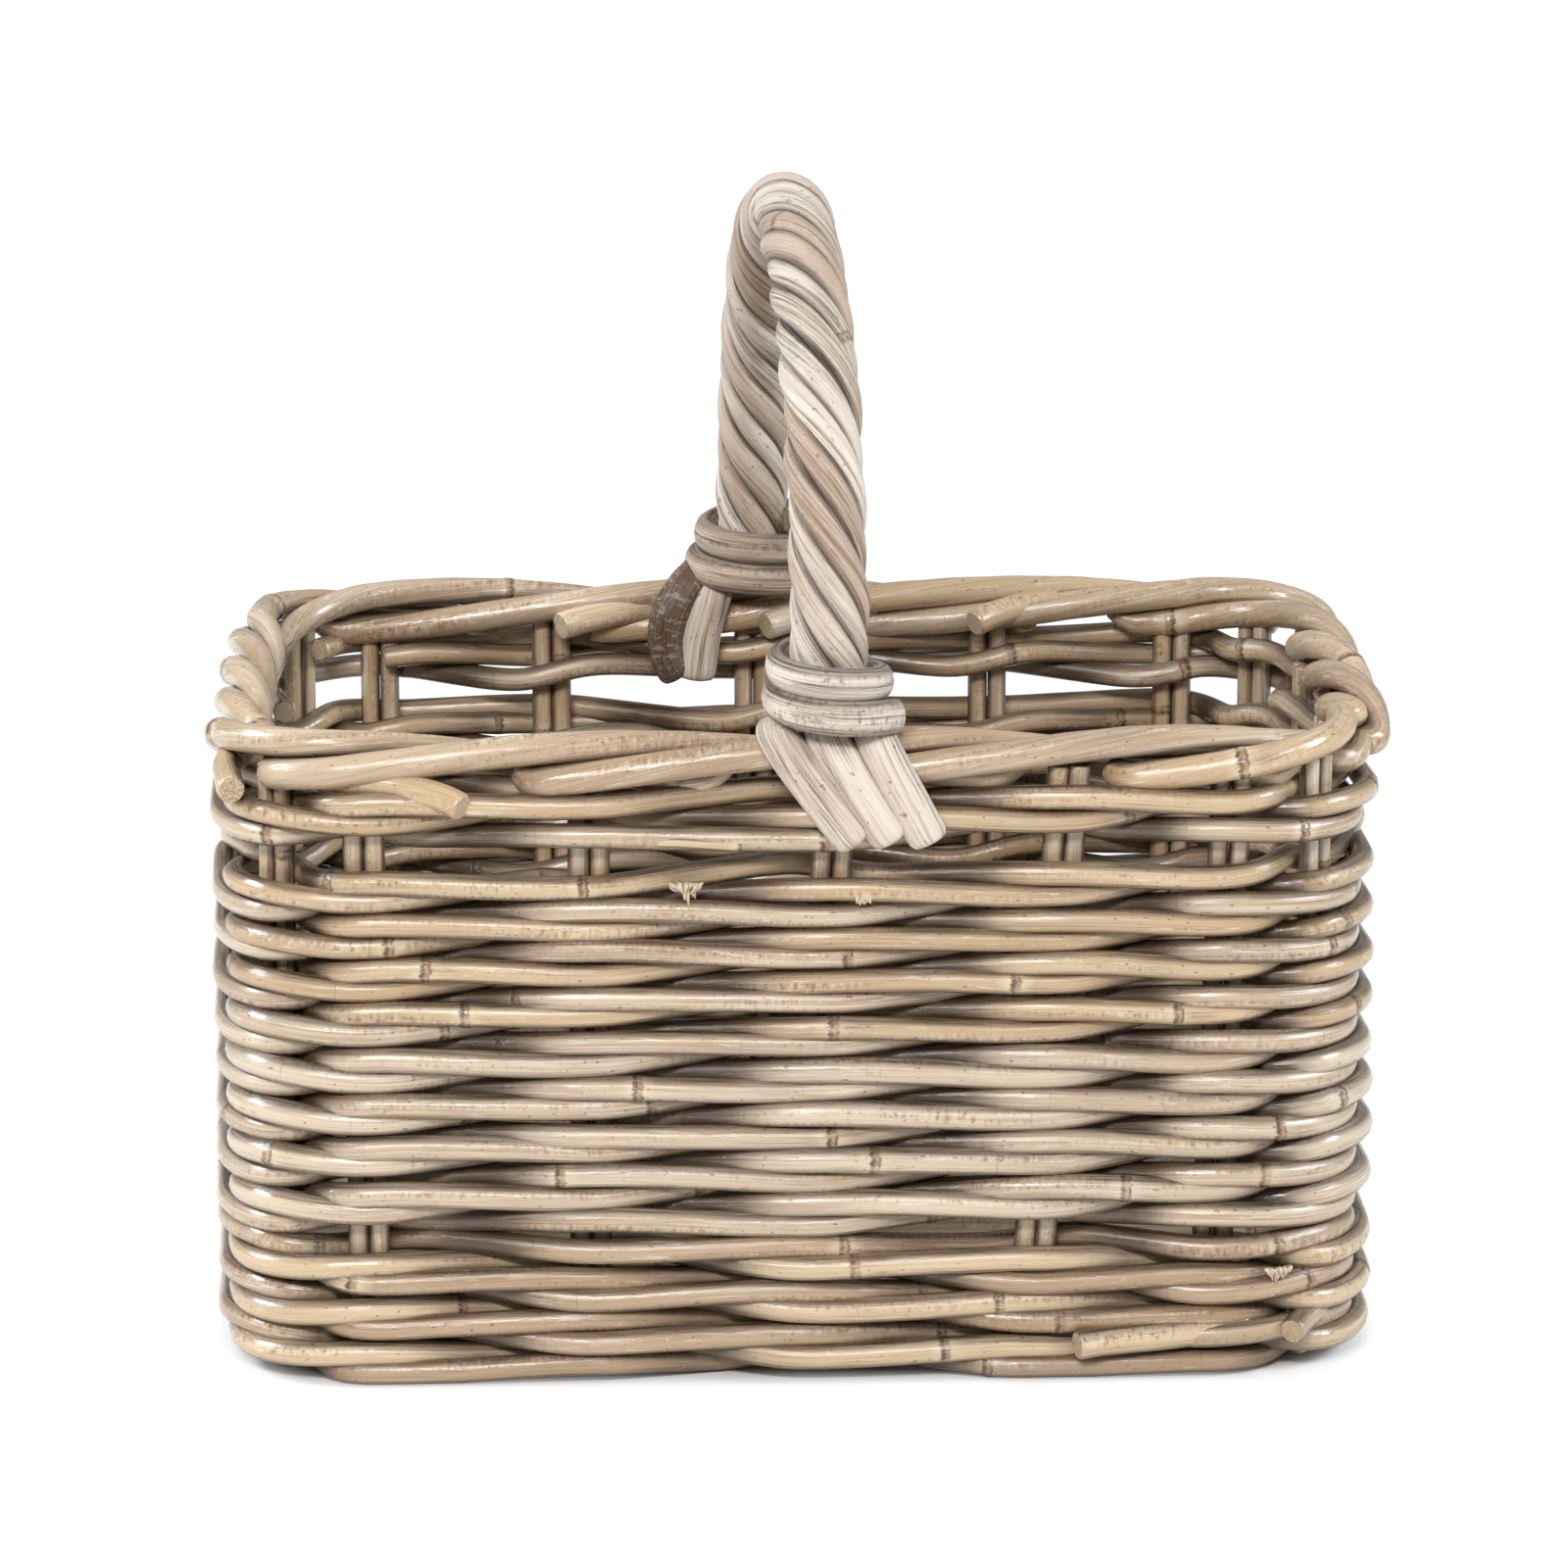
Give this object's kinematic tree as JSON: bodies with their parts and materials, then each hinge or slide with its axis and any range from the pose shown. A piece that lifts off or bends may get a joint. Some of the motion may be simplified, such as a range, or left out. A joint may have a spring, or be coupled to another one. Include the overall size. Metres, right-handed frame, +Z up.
{
  "type": "cane basket",
  "caption": "Rectangular woven cane basket with a rolled border, a flat base and a fixed roped bow handle across the middle.",
  "frame": {"origin": "middle of the basket's plan, level with the feet of the stakes it stands on", "axes": "+X to the right along the long side, +Y to the back, +Z up; the front faces -Y"},
  "size_m": [0.4008, 0.2876, 0.3994],
  "materials": {
    "wall_cane": "semi-gloss peeled cane",
    "stake_cane": "semi-gloss peeled cane",
    "border_cane": "semi-gloss peeled cane",
    "handle_cane": "matt fibrous cane",
    "dark_strap": "matt dark bark",
    "base_cane": "matt cane"
  },
  "bodies": {
    "root": {"base_mat": "base_cane", "base_stick_1": "base_cane", "base_stick_2": "base_cane", "base_stick_3": "base_cane", "base_stick_4": "base_cane", "base_stick_5": "base_cane", "border_rod_01": "border_cane", "border_rod_02": "border_cane", "border_rod_03": "border_cane", "border_rod_04": "border_cane", "border_rod_05": "border_cane", "border_rod_06": "border_cane", "border_rod_07": "border_cane", "border_rod_08": "border_cane", "border_rod_09": "border_cane", "border_rod_10": "border_cane", "border_rod_11": "border_cane", "border_rod_12": "border_cane", "handle_collar_back": "handle_cane", "handle_collar_front": "handle_cane", "handle_core": "handle_cane", "handle_strand_1": "handle_cane", "handle_strand_2": "handle_cane", "handle_strand_3": "handle_cane", "handle_strand_4": "handle_cane", "handle_strand_5": "handle_cane", "handle_strand_6": "handle_cane", "handle_strap_back_dark": "dark_strap", "handle_strap_back_pale": "handle_cane", "handle_tail_front_1": "handle_cane", "handle_tail_front_2": "handle_cane", "handle_tail_front_3": "handle_cane", "stake_pair_back_1": "stake_cane", "stake_pair_back_2": "stake_cane", "stake_pair_back_3": "stake_cane", "stake_pair_back_4": "stake_cane", "stake_pair_back_5": "stake_cane", "stake_pair_corner_back_left": "stake_cane", "stake_pair_corner_back_right": "stake_cane", "stake_pair_corner_front_left": "stake_cane", "stake_pair_corner_front_right": "stake_cane", "stake_pair_front_1": "stake_cane", "stake_pair_front_2": "stake_cane", "stake_pair_front_3": "stake_cane", "stake_pair_front_4": "stake_cane", "stake_pair_front_5": "stake_cane", "stake_pair_left_1": "stake_cane", "stake_pair_left_2": "stake_cane", "stake_pair_right_1": "stake_cane", "stake_pair_right_2": "stake_cane", "weaver_foot_a": "wall_cane", "weaver_foot_b": "wall_cane", "weaver_foot_c": "wall_cane", "weaver_high_a": "wall_cane", "weaver_high_b": "wall_cane", "weaver_high_c": "wall_cane", "weaver_low_a": "wall_cane", "weaver_low_b": "wall_cane", "weaver_low_c": "wall_cane"}
  },
  "joints": []
}
